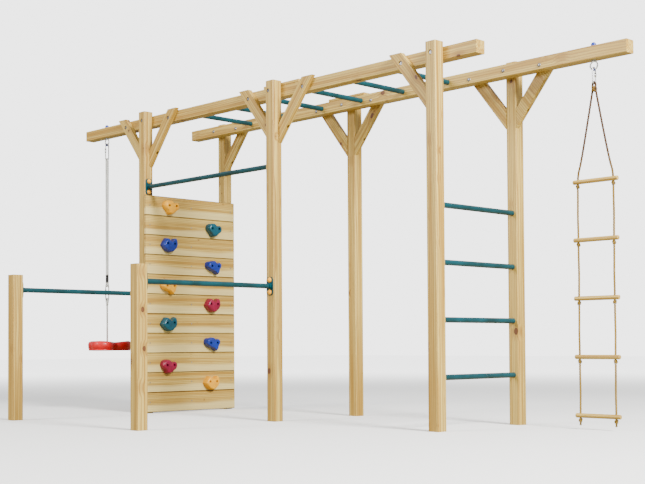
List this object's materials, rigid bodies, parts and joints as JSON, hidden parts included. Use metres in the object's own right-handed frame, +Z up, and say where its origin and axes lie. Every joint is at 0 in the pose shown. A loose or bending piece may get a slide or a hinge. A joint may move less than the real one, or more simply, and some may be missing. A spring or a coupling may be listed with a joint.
{
  "type": "monkey bars",
  "caption": "Wooden monkey bars with overhead rungs, a climbing wall with holds, a rung ladder, high and low turning bars, a disc rope swing and a rope ladder.",
  "frame": {"origin": "middle of the foot of the middle front post, on the ground", "axes": "+X along the beams towards the rope ladder, +Y from the front row of posts to the back row, +Z up"},
  "size_m": [4.12, 1.763, 2.045],
  "materials": {
    "pine_posts": "planed pine, waxed, rounded corners",
    "pine_beams": "planed pressure-treated pine",
    "pine_braces": "planed pine",
    "pine_boards": "planed tongue-and-groove pine",
    "teal_steel": "glossy teal powder coat",
    "yellow_plastic": "moulded, glossy",
    "green_plastic": "moulded, glossy",
    "blue_plastic": "moulded, glossy",
    "red_plastic": "moulded, glossy",
    "galvanised_steel": "zinc-plated",
    "white_rope": "twisted polyester rope",
    "black_sleeve": "heat-shrink sleeve",
    "red_seat": "blow-moulded, glossy",
    "turned_rung": "turned and sanded",
    "tan_rope": "twisted hemp-coloured rope"
  },
  "bodies": {
    "frame": {"front_post_left": "pine_posts", "front_post_middle": "pine_posts", "front_post_right": "pine_posts", "back_post_left": "pine_posts", "back_post_middle": "pine_posts", "back_post_right": "pine_posts", "short_post_left": "pine_posts", "short_post_middle": "pine_posts", "front_beam_left": "pine_beams", "front_beam_right": "pine_beams", "back_beam_left": "pine_beams", "back_beam_right": "pine_beams", "splice_plates": "pine_beams", "back_brace_left_inner": "pine_braces", "back_brace_middle_inner": "pine_braces", "back_brace_middle_outer": "pine_braces", "back_brace_right_inner": "pine_braces", "back_brace_right_outer": "pine_braces", "front_brace_left_inner": "pine_braces", "front_brace_left_outer": "pine_braces", "front_brace_middle_inner": "pine_braces", "front_brace_middle_outer": "pine_braces", "front_brace_right_outer": "pine_braces", "wall_boards": "pine_boards", "wall_batten": "pine_boards", "overhead_rungs": "teal_steel", "ladder_rungs": "teal_steel", "high_bar": "teal_steel", "low_bars": "teal_steel", "bar_flanges": "teal_steel", "bar_caps": "yellow_plastic", "holds_yellow": "yellow_plastic", "holds_green": "green_plastic", "holds_blue": "blue_plastic", "eye_caps": "blue_plastic", "holds_red": "red_plastic", "eye_bolts": "galvanised_steel", "frame_bolts": "galvanised_steel", "wood_screws": "galvanised_steel"},
    "swing_carabiner": {"swing_carabiner": "galvanised_steel"},
    "swing_loop": {"swing_upper_rope": "white_rope", "swing_sleeve": "black_sleeve"},
    "swing_drop": {"swing_hook": "galvanised_steel", "swing_lower_rope": "white_rope"},
    "swing_seat": {"swing_seat": "red_seat"},
    "ladder_carabiner": {"ladder_carabiner": "galvanised_steel"},
    "rope_ladder_top": {"rope_ladder_top_rope": "tan_rope", "rope_ladder_rung_1": "turned_rung"},
    "rope_ladder_section_2": {"rope_ladder_rung_2": "turned_rung", "rope_ladder_rope_left_2": "tan_rope", "rope_ladder_rope_right_2": "tan_rope"},
    "rope_ladder_section_3": {"rope_ladder_rung_3": "turned_rung", "rope_ladder_rope_left_3": "tan_rope", "rope_ladder_rope_right_3": "tan_rope"},
    "rope_ladder_section_4": {"rope_ladder_rung_4": "turned_rung", "rope_ladder_rope_left_4": "tan_rope", "rope_ladder_rope_right_4": "tan_rope"},
    "rope_ladder_section_5": {"rope_ladder_rung_5": "turned_rung", "rope_ladder_rope_left_5": "tan_rope", "rope_ladder_rope_right_5": "tan_rope"}
  },
  "joints": [
    {"name": "swing_fore_and_aft", "type": "hinge", "parent": "frame", "child": "swing_carabiner", "pos_m": [-1.865, 0.07, 1.899], "axis": [1, 0, 0], "range_deg": [-45, 45]},
    {"name": "swing_sideways", "type": "hinge", "parent": "swing_carabiner", "child": "swing_loop", "pos_m": [-1.865, 0.07, 1.7921], "axis": [0, 1, 0], "range_deg": [-12, 40]},
    {"name": "swing_drop_bend", "type": "hinge", "parent": "swing_loop", "child": "swing_drop", "pos_m": [-1.865, 0.07, 0.8828], "axis": [1, 0, 0], "range_deg": [-30, 30]},
    {"name": "seat_turn", "type": "hinge", "parent": "swing_drop", "child": "swing_seat", "pos_m": [-1.865, 0.07, 0.488], "axis": [0, 0, 1], "continuous": true},
    {"name": "rope_ladder_fore_and_aft", "type": "hinge", "parent": "frame", "child": "ladder_carabiner", "pos_m": [1.825, 0.63, 1.899], "axis": [1, 0, 0], "range_deg": [-45, 45]},
    {"name": "rope_ladder_sideways", "type": "hinge", "parent": "ladder_carabiner", "child": "rope_ladder_top", "pos_m": [1.825, 0.63, 1.8241], "axis": [0, 1, 0], "range_deg": [-35, 10]},
    {"name": "rope_ladder_bend_2", "type": "hinge", "parent": "rope_ladder_top", "child": "rope_ladder_section_2", "pos_m": [1.825, 0.63, 1.2887], "axis": [1, 0, 0], "range_deg": [-30, 30]},
    {"name": "rope_ladder_bend_3", "type": "hinge", "parent": "rope_ladder_section_2", "child": "rope_ladder_section_3", "pos_m": [1.825, 0.63, 0.9787], "axis": [1, 0, 0], "range_deg": [-30, 30]},
    {"name": "rope_ladder_bend_4", "type": "hinge", "parent": "rope_ladder_section_3", "child": "rope_ladder_section_4", "pos_m": [1.825, 0.63, 0.6687], "axis": [1, 0, 0], "range_deg": [-30, 30]},
    {"name": "rope_ladder_bend_5", "type": "hinge", "parent": "rope_ladder_section_4", "child": "rope_ladder_section_5", "pos_m": [1.825, 0.63, 0.3587], "axis": [1, 0, 0], "range_deg": [-30, 30]}
  ]
}
